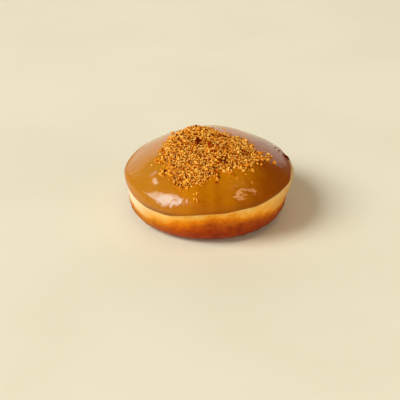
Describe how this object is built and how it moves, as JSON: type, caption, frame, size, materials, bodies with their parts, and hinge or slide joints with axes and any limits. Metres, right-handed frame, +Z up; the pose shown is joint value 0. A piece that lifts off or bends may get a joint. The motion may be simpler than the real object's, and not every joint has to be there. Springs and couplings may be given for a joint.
{
  "type": "filled doughnut",
  "caption": "Round filled doughnut with a pale belt and browned base, a glossy caramel glaze cap and an off-centre heap of fine biscuit crumbs on top.",
  "frame": {"origin": "on the surface it rests on, under the middle of its outline", "axes": "+Z up; -Y is the side where the glaze hangs lowest and the crumbs reach furthest down; +X to the right seen from there"},
  "size_m": [0.0922, 0.0919, 0.0474],
  "materials": {
    "bun": "soft fried dough, pale round the middle and browned underneath",
    "glaze": "wet, glossy caramel glaze",
    "crumbs": "dry, rough biscuit crumb"
  },
  "bodies": {
    "root": {"bun": "bun", "glaze": "glaze", "crumb_heap": "crumbs"}
  },
  "joints": []
}
